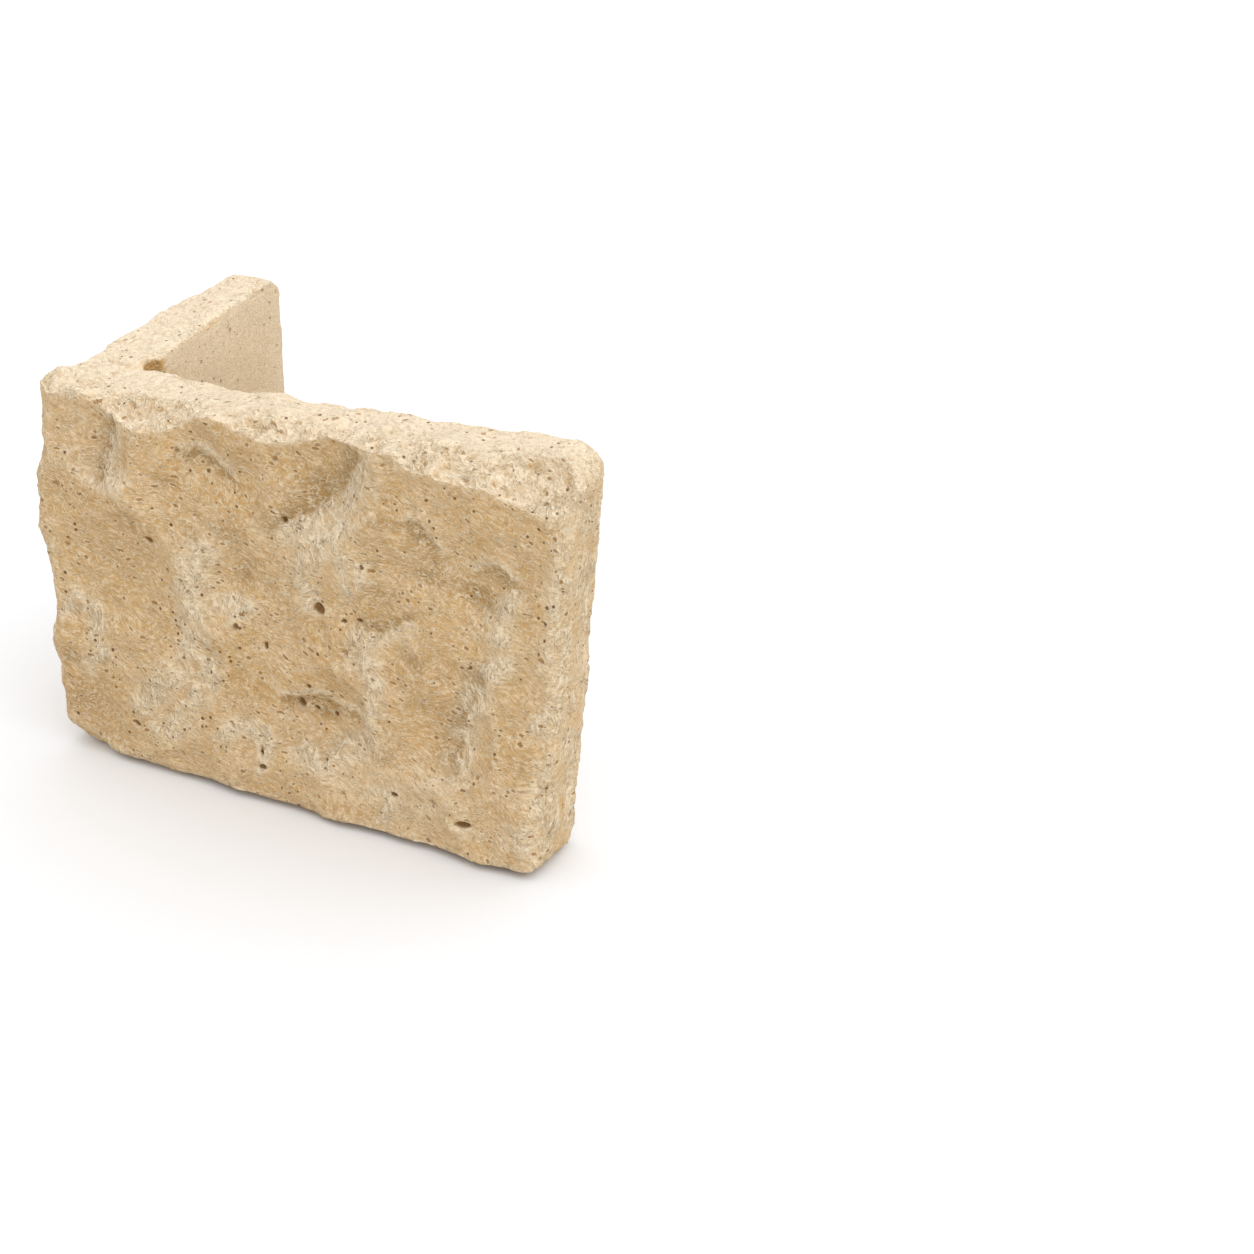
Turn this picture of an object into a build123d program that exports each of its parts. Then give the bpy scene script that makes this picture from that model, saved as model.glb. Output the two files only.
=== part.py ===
"""A rock-faced stone cladding corner: one L-shaped piece of limestone, for the outside corner of a wall.

The two backs and the bed are sawn flat. The outer faces are split rock: every flake struck off the block left
a shallow dish, and the ridges stand where two dishes meet. Millimetres, +Z up, standing on its bed.
The origin lies on the bed where the centre planes of the two legs cross; the long leg runs along +X and the
short return along +Y, so the rock faces look towards -Y and -X and the wall stands in the +X +Y quarter.
"""

from build123d import *
import os

# The sawn block
LEG_LENGTH = 200.0  # long leg, outside corner to its free end, along the rock face at half height
RETURN_LENGTH = 107.0  # short leg, outside corner to its free end
THICKNESS = 28.5  # sawn back to the mean of the rock face
RETURN_TAPER = 7.0  # the return thins by this much from the corner to its free end
CORNER_HEIGHT = 139.0  # bed to top at the outside corner
LEG_RISE = 11.0  # the top climbs this much to the free end of the long leg
RETURN_RISE = 7.0  # and this much to the free end of the return
LEG_END_LEAN = 14.0  # the long leg's free end overhangs its own foot by this much
LEG_END_SKEW = 4.0  # the long leg's back is shorter than its rock face by this much
CORNER_LEAN = 3.0  # the outside corner's top stands back from its foot by this much
PITCH = 3.5  # rock left standing outside the mean faces, for the flakes to bite into

# Worn outlines
LEG_END_TOP_RADIUS = 14.0
LEG_END_FOOT_RADIUS = 8.0
LEG_FOOT_RADIUS = 3.5  # along the foot of the long leg's rock face
RETURN_END_RADIUS = 7.0
CORNER_FOOT_RADIUS = 17.0
GROOVE_RADIUS = 3.4  # round relief down the inside corner, where the two backs meet
GROOVE_BITE = 0.6  # groove axis, in from the return's back
GROOVE_STEP = 2.6  # groove axis, out from the long leg's back

# Flakes struck off the long leg's rock face: place along the leg and up the face, as shares of the leg's
# length and the corner's height, then the depth below the mean face (above it where less than zero) and the radius
# of the dish
LEG_FLAKES = (
    (0.05, 0.68, 0.2, 120.0),
    (0.11, 0.91, 2.6, 42.0),
    (0.12, 0.88, 3.5, 26.0),
    (0.14, 0.50, 1.4, 150.0),
    (0.09, 0.13, 0.6, 140.0),
    (0.36, 0.86, 3.0, 110.0),
    (0.33, 0.90, 4.2, 34.0),
    (0.545, 0.935, 4.6, 52.0),
    (0.46, 0.58, 1.8, 160.0),
    (0.42, 0.60, 2.5, 52.0),
    (0.38, 0.30, 1.2, 130.0),
    (0.53, 0.27, 2.2, 70.0),
    (0.56, 0.30, 2.9, 46.0),
    (0.63, 0.57, 1.2, 44.0),
    (0.68, 0.66, 0.6, 170.0),
    (0.75, 0.85, 1.2, 38.0),
    (0.86, 0.76, 1.6, 190.0),
    (0.86, 0.73, 2.5, 64.0),
    (0.76, 0.38, 2.0, 110.0),
    (0.79, 0.34, 3.0, 46.0),
    (0.97, 0.40, 1.0, 120.0),
    (0.24, 0.08, 0.2, 140.0),
    (0.48, 0.08, -0.6, 160.0),
    (0.69, 0.11, -1.4, 140.0),
    (0.90, 0.12, -2.4, 120.0),
)

# Flakes struck off the return's rock face, by the same four values along the return
RETURN_FLAKES = (
    (0.20, 0.86, 3.6, 40.0),
    (0.20, 0.45, 2.2, 60.0),
    (0.34, 0.16, 1.2, 100.0),
    (0.48, 0.80, 2.6, 80.0),
    (0.60, 0.50, 1.6, 110.0),
    (0.66, 0.20, 2.0, 80.0),
    (0.78, 0.92, 3.0, 60.0),
    (0.97, 0.50, 2.6, 70.0),
)

# Chips off the edges: place as a share of the edge, reach of the break on each of the two faces, measured
# from the edge of the mean faces, and the radius of the break
TOP_EDGE_CHIPS = (  # back over the top, down the face
    (0.21, 12.0, 10.0, 40.0),
    (0.46, 11.0, 8.0, 40.0),
    (0.81, 13.0, 8.0, 60.0),
    (0.94, 15.0, 14.0, 50.0),
)
FOOT_EDGE_CHIPS = (  # back over the bed, up the face
    (0.00, 9.0, 11.0, 50.0),
    (0.24, 2.0, 5.0, 150.0),
    (0.51, 0.5, 4.0, 90.0),
)
CORNER_EDGE_CHIPS = (  # along the long leg, along the return
    (0.12, 3.0, 2.0, 160.0),
    (0.45, 2.5, 1.5, 140.0),
    (0.95, 6.0, 5.0, 70.0),
)
END_EDGE_CHIPS = (  # back along the long leg, across its end
    (0.10, 4.0, 6.0, 140.0),
    (0.42, 2.0, 5.0, 180.0),
    (0.74, 3.0, 6.0, 150.0),
)
RETURN_TOP_CHIPS = (  # across the return's top, down its face
    (0.28, 4.0, 6.0, 70.0),
    (0.58, 5.0, 5.0, 80.0),
    (0.92, 7.0, 8.0, 60.0),
)
RETURN_END_CHIPS = (  # back along the return, across its end
    (0.15, 5.0, 5.0, 120.0),
    (0.50, 6.0, 5.0, 130.0),
    (0.88, 11.0, 9.0, 70.0),
)

half = THICKNESS / 2
rock_face = -half - PITCH
leg_end = LEG_LENGTH - half
return_end = RETURN_LENGTH - half
far_face = RETURN_TAPER - half
leg_end_height = CORNER_HEIGHT + LEG_RISE
return_end_height = CORNER_HEIGHT + RETURN_RISE
headroom = leg_end_height + return_end_height


def rounded(points, rounds):
    """A closed outline of straight runs, with a radius on some of its corners."""
    face = make_face(Polyline(*points, close=True))
    for corner, radius in rounds:
        face = fillet(face.vertices().sort_by_distance((*corner, 0))[0], radius)
    return face


def long_leg():
    """The long leg: its elevation, worn at the free end, drawn from the back past the rock face on the skew."""
    end_foot = (leg_end - LEG_END_LEAN / 2, 0)
    end_top = (leg_end + LEG_END_LEAN / 2, leg_end_height)
    elevation = rounded(
        ((-LEG_LENGTH, 0), end_foot, end_top, (-LEG_LENGTH, CORNER_HEIGHT - LEG_RISE)),
        ((end_foot, LEG_END_FOOT_RADIUS), (end_top, LEG_END_TOP_RADIUS)),
    )
    depth = half - rock_face + PITCH
    skew = Vector(LEG_END_SKEW * depth / THICKNESS, -depth, 0)
    back = Pos(-LEG_END_SKEW, 0, 0) * (Plane.XZ.offset(-half) * elevation)
    return extrude(back, amount=skew.length, dir=skew.normalized())


def short_return():
    """The return: its side view, worn at the free end, drawn outwards from its back."""
    far_foot = (return_end, 0)
    far_top = (return_end, return_end_height)
    side = rounded(
        ((0, 0), far_foot, far_top, (0, CORNER_HEIGHT)),
        ((far_foot, RETURN_END_RADIUS), (far_top, RETURN_END_RADIUS)),
    )
    return extrude(Plane.YZ.offset(half) * side, amount=-LEG_LENGTH)


def behind_leg_face():
    """All behind the long leg's rock face, which is worn round at its foot."""
    foot, beyond = (rock_face, 0), 2 * RETURN_LENGTH
    section = rounded((foot, (beyond, 0), (beyond, headroom), (rock_face, headroom)), ((foot, LEG_FOOT_RADIUS),))
    return extrude(Plane.YZ.offset(-LEG_LENGTH) * section, amount=3 * LEG_LENGTH)


def behind_return_face():
    """All behind the return's rock face, which leans back, is worn round at its foot and draws in as it runs."""
    foot = (rock_face - CORNER_LEAN / 2, 0)
    head = (foot[0] + CORNER_LEAN * headroom / CORNER_HEIGHT, headroom)
    beyond = 2 * LEG_LENGTH
    section = rounded((foot, (beyond, 0), (beyond, headroom), head), ((foot, CORNER_FOOT_RADIUS),))
    run = Vector(RETURN_TAPER, RETURN_LENGTH, 0) * 2
    return extrude(Plane.XZ.offset(-rock_face) * section, amount=run.length, dir=run.normalized())


def dish(place, outward, poles, depth, radius):
    """The ball that bites to this depth below a place on a mean face, its seam and poles turned off the stone."""
    centre = Vector(place) + Vector(outward).normalized() * (radius - depth)
    return Plane(origin=centre, x_dir=outward, z_dir=poles) * Sphere(radius)


def face_flakes():
    """The dishes over the two rock faces."""
    for along, up, depth, radius in LEG_FLAKES:
        place = (along * LEG_LENGTH - half, -half, up * CORNER_HEIGHT)
        yield dish(place, (0, -1, 0), (0, 0, 1), depth, radius)
    for along, up, depth, radius in RETURN_FLAKES:
        place = (along * RETURN_TAPER - half, along * RETURN_LENGTH - half, up * CORNER_HEIGHT)
        yield dish(place, (-1, 0, 0), (0, 0, 1), depth, radius)


def edge_chips():
    """The breaks along the outer edges: each cuts across the edge from one of its faces to the other."""
    corner_foot = Vector(-half, -half, 0)
    corner_top = Vector(-half, -half, CORNER_HEIGHT)
    end_foot = Vector(leg_end - LEG_END_LEAN / 2, -half, 0)
    end_top = Vector(leg_end + LEG_END_LEAN / 2, -half, leg_end_height)
    far_foot = Vector(far_face, return_end, 0)
    far_top = Vector(far_face, return_end, return_end_height)
    along, back, up = Vector(1, 0, 0), Vector(0, 1, 0), Vector(0, 0, 1)
    edges = (
        (TOP_EDGE_CHIPS, corner_top, end_top, back, -up),
        (FOOT_EDGE_CHIPS, corner_foot, end_foot, back, up),
        (CORNER_EDGE_CHIPS, corner_foot, corner_top, along, back),
        (END_EDGE_CHIPS, end_foot, end_top, -along, back),
        (RETURN_TOP_CHIPS, corner_top, far_top, along, -up),
        (RETURN_END_CHIPS, far_foot, far_top, -back, along),
    )
    for chips, start, finish, first, second in edges:
        for share, reach_first, reach_second, radius in chips:
            edge = start + (finish - start) * share
            middle = edge + (first * reach_first + second * reach_second) / 2
            outward = -(first * reach_second + second * reach_first)
            yield dish(middle, outward, finish - start, 0, radius)


def corner_stone():
    """The whole stone: both legs as one block, less each flake and chip and the relief in the inside corner."""
    stone = (long_leg() + short_return()) & behind_leg_face() & behind_return_face()
    for flake in (*face_flakes(), *edge_chips()):
        stone -= flake
    groove = Cylinder(GROOVE_RADIUS, 2 * headroom)
    return stone - Pos(half - GROOVE_BITE, half + GROOVE_STEP, 0) * groove


os.makedirs("parts", exist_ok=True)
stone_corner = corner_stone()
export_step(stone_corner, "parts/stone_corner.step")
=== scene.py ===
"""A rock-faced limestone cladding corner, standing on its sawn bed on a white studio floor.

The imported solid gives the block, its struck flakes and chips. Here it gets the crumbled ridges, pits, pores and
bedding streaks of split limestone. Metres, +Z up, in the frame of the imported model.
"""

import bmesh
import bpy
import math
import numpy as np
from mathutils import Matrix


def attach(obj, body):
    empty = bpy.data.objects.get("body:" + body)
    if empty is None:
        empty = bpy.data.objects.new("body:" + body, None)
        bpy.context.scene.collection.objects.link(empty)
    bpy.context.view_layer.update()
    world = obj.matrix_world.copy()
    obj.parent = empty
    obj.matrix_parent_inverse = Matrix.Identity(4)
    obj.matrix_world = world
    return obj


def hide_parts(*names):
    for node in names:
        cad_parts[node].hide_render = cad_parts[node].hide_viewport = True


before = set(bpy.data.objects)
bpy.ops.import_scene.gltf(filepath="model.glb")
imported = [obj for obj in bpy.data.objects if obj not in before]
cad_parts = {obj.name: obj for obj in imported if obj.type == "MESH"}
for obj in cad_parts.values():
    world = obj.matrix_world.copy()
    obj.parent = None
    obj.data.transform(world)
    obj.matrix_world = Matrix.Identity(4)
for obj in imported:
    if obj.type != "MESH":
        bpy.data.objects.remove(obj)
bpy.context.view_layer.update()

# The stone: one L-shaped piece of porous limestone. The rock faces were split by hammer and chisel, which left
# shallow scoops with crumbled ridges between them; the backs and the bed were sawn. It is fixed by mortar alone.
MM = 0.001
BACK = 14.25  # mm, the sawn backs stand this far from the centre planes of the legs
GROOVE_STEP = 2.6  # mm, the relief in the inside corner lies this far out from the long leg's back
GROOVE_REACH = 4.6  # mm, that relief with its worn lips
ROCK = 15  # mm, the rock faces stand about this far from the same planes
LEG_LENGTH = 200  # mm
LEG_RISE = 11  # mm, the long leg's top climbs by this much over its length
LEG_SLOPE = 0.056  # and by this much in each mm
LEG_END = 178.5  # mm, the long leg's free end at its foot
LEG_END_LEAN = 14  # mm, how far that end overhangs its foot at the top
LEG_END_HEIGHT = 149  # mm
CORNER_HEIGHT = 139  # mm, bed to top at the outside corner
RETURN_LENGTH = 107  # mm
RETURN_RISE = 7  # mm, the return's top climbs by this much
RETURN_RUN = 92.75  # mm, over this length
RETURN_TAPER = 7  # mm, the return thins by this much over its length
FAR_END = 92.5  # mm, the return's free end
UNDERCUT = 5  # mm, the foot draws in by this much below the faces
UNDERCUT_REACH = 14  # mm, how far in over the bed that is felt
TOP_SEAM = ((-5, 4.6), (4, 3.6), (8, 11), (10.5, 16.5))  # mm, along and back: where the two legs' tops meet
TOP_SAG = ((-18, 0.2), (8, 0.6), (36, 2.0), (80, 2.5), (130, 2.0), (178, 0.0))  # mm, along and down: the low in the top
CORNER_LUMP = (-12, -3, 8, 2.8)  # mm, along, back, half width and height of the lump on the outside corner
ARRIS_WEAR = 0.7  # mm, off the sawn arrises at the top
VOXEL = 0.68 * MM  # mesh step that carries the relief
TRIANGLES = 194_000

# Crumbled ridges on the long leg's rock face: half width and height, then the run as (along, up), all in mm
RIDGES = (
    (7.5, 0.9, ((50, 90), (47, 80), (46, 70), (47, 60), (44, 52))),
    (6.5, 0.7, ((44, 52), (40, 44), (28, 34), (21, 26))),
    (5.5, 0.6, ((51, 50), (48, 39), (37, 21), (29, 18))),
    (3.5, 0.5, ((55, 75), (68, 76), (61, 69))),
    (6.0, 0.6, ((107, 117), (99, 107), (93, 100), (91, 90), (92, 84))),
    (3.5, 0.5, ((99, 107), (108, 103), (107, 94))),
    (3.0, 0.5, ((114, 99), (109, 90))),
    (4.5, 0.6, ((111, 73), (115, 65), (117, 56), (115, 44), (116, 36))),
    (5.0, 0.7, ((170, 102), (164, 93), (165, 79), (157, 68), (152, 57), (149, 48), (147, 37))),
    (6.0, 0.4, ((189, 112), (185, 87), (189, 79), (186, 68), (180, 58))),
    (4.0, 0.5, ((54, 21), (65, 29), (73, 27), (71, 16))),
    (4.0, 0.5, ((87, 24), (95, 23), (111, 35))),
    (3.5, 0.4, ((117, 17), (123, 19), (119, 8))),
    (5.0, 0.8, ((20, 140), (18, 130), (14, 116), (18, 110))),
    (4.0, 0.4, ((-8, 55), (-4, 63), (3, 58), (7, 44), (-1, 35))),
    (5.0, 0.4, ((168, 15), (183, 21), (173, 12))),
)

# Ledges, where a flake broke off short: the depth of the crease, how far its low side runs out, how wide the wall
# on the high side is and how dark the low side is made with dust and painted shade, then the run with the low side
# on its left, in mm
LEDGES = (
    (1.0, 6.0, 9.0, 0.8, ((87, 111), (92, 114), (98, 118), (106, 125), (110, 132), (112, 138))),
    (0.9, 4.0, 5.0, 0.8, ((110, 70), (113, 75), (121, 81), (129, 84))),
    (0.6, 6.0, 5.0, 0.4, ((87, 24), (95, 23), (111, 35))),
    (0.9, 6.0, 6.0, 0.9, ((147, 37), (149, 48), (152, 57), (157, 68))),
    (1.1, 5.0, 5.0, 0.9, ((13, 113), (14, 118), (18, 131))),
    (0.6, 4.5, 3.0, 0.9, ((62, 123), (52, 127), (45, 126))),
    (0.6, 5.0, 3.0, 0.7, ((107, 45), (96, 47), (83, 44))),
    (0.4, 4.0, 3.0, 0.8, ((141, 115), (137, 120), (132, 121))),
    (0.3, 5.0, 4.0, 0.5, ((169, 109), (163, 111), (158, 110))),
)

# Hollows worn into the same face, darkened with dust and painted shade: along, up, half length, half height, slope
# in degrees and depth in mm, then how dark; where the depth is 0 there is the darkening alone
HOLLOWS = (
    (80, 127, 16, 7.0, 0, 0.1, 0.15),
    (97, 123, 14, 8.0, 40, 0.0, 0.7),
    (22, 88, 28, 26.0, 0, 0.0, 0.12),
    (60, 100, 8, 4.0, -15, 0.4, 0.6),
    (46, 97, 5, 3.0, -15, 0.3, 0.5),
    (67, 87, 5, 5.0, -50, 0.4, 0.6),
    (38, 115, 6, 2.5, -20, 0.2, 0.4),
    (82, 110, 9, 2.5, 10, 0.3, 0.7),
    (123, 120, 5, 3.0, 20, 0.3, 0.5),
    (135, 117, 5, 3.5, -50, 0.4, 0.7),
    (139, 103, 7, 3.0, -30, 0.4, 0.6),
    (156, 100, 8, 4.5, -35, 0.5, 0.8),
    (164, 108, 7, 3.0, -30, 0.4, 0.6),
    (131, 70, 5, 3.5, -45, 0.5, 0.6),
    (134, 55, 6, 4.0, -40, 0.3, 0.4),
    (97, 42, 12, 3.6, 0, 0.3, 0.6),
    (118, 32, 4, 3.0, -30, 0.4, 0.5),
    (-3, 58, 3, 3.0, 0, 0.4, 0.5),
    (-8, 37, 4, 4.0, 0, 0.5, 0.6),
    (23, 98, 12, 2.2, -57, 0.3, 0.5),
    (-2, 22, 12, 8.0, 0, 0.1, 0.4),
    (143, 108, 16, 7.0, -35, 0.0, 0.35),
    (120, 92, 8, 5.0, -35, 0.0, 0.4),
)

# Pits left by shells and grit that fell out: along, up, half length, half height, slope and depth, in mm
PITS = (
    (96.2, 81.2, 2.5, 2.2, 0, 2.6),
    (85.6, 41.8, 1.5, 1.7, 20, 2.0),
    (150.3, 15.3, 3.1, 1.3, 4, 2.4),
    (18.4, 17.6, 1.4, 1.1, -10, 1.6),
    (71.0, 15.2, 1.6, 1.0, 0, 1.6),
    (71.0, 21.1, 0.7, 1.9, 4, 1.3),
    (123.0, 18.4, 1.4, 0.9, 0, 1.5),
    (84.5, 111.3, 1.0, 1.0, 0, 1.5),
    (73.6, 61.4, 0.8, 1.4, 10, 1.4),
    (89.7, 49.8, 1.0, 0.8, 30, 1.3),
    (105.8, 79.1, 1.0, 0.8, 0, 1.3),
    (111.2, 80.1, 1.2, 0.8, 0, 1.3),
    (91.6, 41.5, 1.2, 0.8, -30, 1.3),
    (99.1, 41.2, 0.8, 1.1, 0, 1.3),
    (30.3, 91.8, 1.6, 1.1, -20, 1.2),
    (63.0, 67.0, 1.0, 1.4, 0, 1.3),
)


def linear(hex_colour):
    """An sRGB hex colour as linear RGBA."""
    parts = [int(hex_colour[i : i + 2], 16) / 255 for i in (1, 3, 5)]
    return tuple(c / 12.92 if c <= 0.04045 else ((c + 0.055) / 1.055) ** 2.4 for c in parts) + (1.0,)


def add(tree, kind, inputs, **settings):
    """One node of a tree with its settings; each input takes a value or the output that feeds it."""
    node = tree.nodes.new(kind)
    for name, value in settings.items():
        setattr(node, name, value)
    for key, value in inputs.items():
        if isinstance(value, bpy.types.NodeSocket):
            tree.links.new(value, node.inputs[key])
        else:
            node.inputs[key].default_value = value
    return node


def plain_mesh(source, name):
    """What an object's modifiers make of it, as a mesh of its own."""
    shown = source.evaluated_get(bpy.context.evaluated_depsgraph_get())
    mesh = bpy.data.meshes.new_from_object(shown)
    mesh.name = name
    return mesh


def wobble(x, z, size, seed):
    """Smooth waviness of about -1 to 1 over the face, of this size in mm: a few waves with fixed directions."""
    waves = np.random.default_rng(seed)
    total = np.zeros_like(x)
    for _ in range(9):
        turn, phase = waves.uniform(0, 2 * math.pi, 2)
        step = size * waves.uniform(0.6, 1.7) / (2 * math.pi)
        total += np.sin((x * math.cos(turn) + z * math.sin(turn)) / step + phase)
    return total / 4


def hand_relief(mesh):
    """Where the stone is sawn, crumbled and dug out, as attributes on its points."""
    count = len(mesh.vertices)
    points = np.empty(count * 3, np.float32)
    normals = np.empty(count * 3, np.float32)
    mesh.vertices.foreach_get("co", points)
    mesh.vertices.foreach_get("normal", normals)
    x, y, z = points.reshape(-1, 3).T / MM
    nx, ny, nz = normals.reshape(-1, 3).T
    off_front = y + ROCK
    off_return = x + ROCK - RETURN_TAPER * np.clip(off_front, 0, RETURN_LENGTH) / RETURN_LENGTH
    off_leg_end = LEG_END + LEG_END_LEAN * z / LEG_END_HEIGHT - x
    off_far_end = FAR_END - y
    off_outline = np.minimum(np.minimum(off_front, off_return), np.where(y < BACK + 1, off_leg_end, off_far_end))

    # Edges worn round: the foot, the three upright corners and the top of the outside corner
    rim = 0.15 * np.clip(1 - z / 6, 0, 1) * np.clip(1.3 - off_outline / 6, 0, 1)
    for one, other, reach, share in (
        (off_front, off_return, 6, 0.15), (off_front, off_leg_end, 11, 0.8), (off_return, off_far_end, 6, 0.15),
    ):
        rim = np.maximum(rim, share * np.clip(1 - np.maximum(one, other) / reach, 0, 1))
    rim = np.maximum(rim, 0.4 * np.clip(1.6 - np.hypot(x + 17, z - CORNER_HEIGHT) / 8, 0, 1) * (y < BACK))

    # The foot, drawn in below the faces
    low = np.clip(1 - z / 3, 0, 1) * (1 + 0.35 * wobble(x, y, 24, 9))
    near_return, near_front = (np.clip(1 - (off + 3) / UNDERCUT_REACH, 0, 1) for off in (off_return, off_front))
    near_leg_end, near_far_end = (np.clip(1 - off / UNDERCUT_REACH, 0, 1) for off in (off_leg_end, off_far_end))
    tuck = np.zeros((count, 3))
    tuck[:, 0] = UNDERCUT * low * (near_return - near_leg_end * (y < BACK))
    tuck[:, 1] = UNDERCUT * low * (near_front - near_far_end)

    # The long leg's top, which lies lower than the return's, the lump on the outside corner and the worn arrises
    leg_top = CORNER_HEIGHT - LEG_RISE + LEG_SLOPE * (x + LEG_LENGTH)
    return_top = CORNER_HEIGHT + RETURN_RISE * y / RETURN_RUN
    on_leg = np.clip((np.interp(x, *zip(*TOP_SEAM)) - y) / 3 + 0.5, 0, 1)
    sag = np.interp(x, *zip(*TOP_SAG)) * np.clip(0.75 + y / 50, 0.35, 1)
    tuck[:, 2] -= sag * on_leg * np.clip(1 - (leg_top - z) / 15, 0, 1)
    lump_x, lump_y, reach, height = CORNER_LUMP
    lump = height * np.exp(-(((x - lump_x) / reach) ** 2) - ((y - lump_y) / reach) ** 2)
    tuck[:, 2] += lump * np.clip(1 - (leg_top - z) / 12, 0, 1)
    off_arris = np.where(y > BACK + 1, np.hypot(x - BACK, z - return_top), np.hypot(y - BACK, z - leg_top))
    wear = ARRIS_WEAR * np.exp(-((off_arris / 3) ** 2)) * np.clip(0.3 + 0.9 * wobble(x + y, z, 15, 10), 0, 1)
    tuck[:, 0] -= wear * (y > BACK + 1)
    tuck[:, 1] -= wear * (y <= BACK + 1)
    tuck[:, 2] -= wear

    # The sawn faces, the relief in the inside corner, and the front face on a grid that wanders, so no run is straight
    leg_back = (ny > 0.8) & (abs(y - BACK) < 1)
    return_back = (nx > 0.8) & (abs(x - BACK) < 1)
    bed = (nz < -0.8) & (z < 1) & (off_outline > 7)
    groove = np.hypot(x - BACK, y - BACK - GROOVE_STEP) < GROOVE_REACH
    sawn = leg_back | return_back | bed | (groove & (nz < 0.5))
    front = np.clip(-ny * 2 - 0.4, 0, 1)
    along_face = x + 1.2 * wobble(x, z, 16, 1) + 0.7 * wobble(x, z, 6, 2)
    up_face = z + 1.2 * wobble(x, z, 16, 3) + 0.7 * wobble(x, z, 6, 4)
    broken = np.clip(0.75 + 0.5 * wobble(x, z, 9, 5), 0, 1)

    # The broken top edge, the crumbled free end, a pale patch low on the face, the rough ground under the outside
    # corner's top, the free end's upper corner, fuller than in the solid, and the band along the foot for painted
    # contact shade
    top_band = np.clip((3 - y + 3 * wobble(x, y, 14, 6)) / 9, 0, 1) * np.clip(nz * 2 - 0.5, 0, 1)
    end_face = np.clip(nx * 2 - 0.6, 0, 1) * (x > 150) * np.clip(0.7 + 0.6 * wobble(y, z, 14, 7), 0, 1)
    broken_top = np.maximum(top_band, 0.5 * end_face)
    crumbled = np.maximum(0.8 * top_band * broken, 0.8 * end_face)
    end_arris = np.exp(-((off_leg_end / 7) ** 2) - (off_front / 7) ** 2)
    end_arris *= np.clip(0.4 + 0.8 * wobble(y, z, 20, 8), 0, 1)
    crumbled = np.maximum(crumbled, 0.9 * end_arris)
    cut, dust_and_shade, pit = np.zeros((3, count))
    pale = np.maximum(0.5 * end_face, 0.5 * end_arris)
    pale = np.maximum(pale, 0.3 * np.exp(-((off_arris / 4) ** 2)) * ~groove)
    pale = np.maximum(pale, 0.4 * np.exp(-(((x - 130) / 38) ** 2) - ((z - 18) / 13) ** 2) * front)
    rough_corner = np.exp(-(((x + 2) / 17) ** 2) - ((z - 120) / 17) ** 2) * front
    crumbled = np.maximum(crumbled, 0.5 * rough_corner * broken)
    cut += 2.4 * np.exp(-(np.hypot(x - 188, z - 146) / 8) ** 2) * np.clip(nx * 2, 0, 1) * np.clip(nz * 2, 0, 1)
    # The band along the foot, which is painted dark as contact shade
    foot = np.clip(1 - z / 3.5, 0, 1) * np.clip(1 - off_outline / 9, 0, 1)

    def off_run(run):
        """How far each point is from a run of straight pieces, and how far to its left."""
        near, left = np.full(count, 1e6), np.zeros(count)
        for (ax, az), (bx, bz) in zip(run, run[1:]):
            length = math.hypot(bx - ax, bz - az)
            share = np.clip(((along_face - ax) * (bx - ax) + (up_face - az) * (bz - az)) / length**2, 0, 1)
            off = np.hypot(along_face - ax - share * (bx - ax), up_face - az - share * (bz - az))
            side = ((up_face - az) * (bx - ax) - (along_face - ax) * (bz - az)) / length
            left, near = np.where(off < near, side, left), np.minimum(off, near)
        return near, left

    for width, height, run in RIDGES:
        near, _ = off_run(run)
        crumbled = np.maximum(crumbled, np.exp(-((near / width) ** 2)) * front * broken)
        cut += height * np.exp(-((near / (0.6 * width)) ** 2)) * front * broken
        pale = np.maximum(pale, np.exp(-((near / (0.85 * width)) ** 2)) * front * (0.3 + 0.7 * broken))
    for depth, reach, wall, dust_and_shade_share, run in LEDGES:
        near, left = off_run(run)
        crease = np.exp(-((near / np.where(left > 0, reach, 0.6 * wall)) ** 2)) * front
        cut -= depth * crease
        # The low side of the crease darkened with dust and painted shade
        dust_and_shade = np.maximum(dust_and_shade, dust_and_shade_share * crease * np.clip(left / 0.8 + 0.3, 0, 1))
        # The wall on the high side painted paler and crumbled; its paleness is partly painted highlight
        on_wall = np.clip(0.2 - left, 0, 1) * np.exp(-((near / wall) ** 2)) * front
        pale = np.maximum(pale, 0.8 * on_wall)
        crumbled = np.maximum(crumbled, on_wall * broken)
    for along, up, half_length, half_height, slope, depth, dust_and_shade_share in HOLLOWS:
        turn = math.radians(slope)
        u = (along_face - along) * math.cos(turn) + (up_face - up) * math.sin(turn)
        v = (up_face - up) * math.cos(turn) - (along_face - along) * math.sin(turn)
        dent = np.exp(-np.hypot(u / half_length, v / half_height) ** 2) * front
        cut -= depth * dent
        # The hollow darkened with dust and painted shade
        dust_and_shade = np.maximum(dust_and_shade, dust_and_shade_share * dent)
    for along, up, half_length, half_height, slope, depth in PITS:
        turn = math.radians(slope)
        u = (x - along) * math.cos(turn) + (z - up) * math.sin(turn)
        v = (z - up) * math.cos(turn) - (x - along) * math.sin(turn)
        hole = np.exp(-np.hypot(u / half_length, v / half_height) ** 4) * front
        cut -= depth * hole
        pit = np.maximum(pit, hole)
    for name, values in (
        ("sawn", sawn), ("crumbled", crumbled), ("broken", broken_top), ("golden", groove & sawn), ("dust_and_shade", dust_and_shade),
        ("pale", pale), ("pit", pit), ("foot", foot), ("rim", rim), ("cut", cut * MM),
    ):
        mesh.attributes.new(name, "FLOAT", "POINT").data.foreach_set("value", values.astype(np.float32))
    inward = (tuck * MM).astype(np.float32).ravel()
    mesh.attributes.new("tuck", "FLOAT_VECTOR", "POINT").data.foreach_set("vector", inward)


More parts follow.
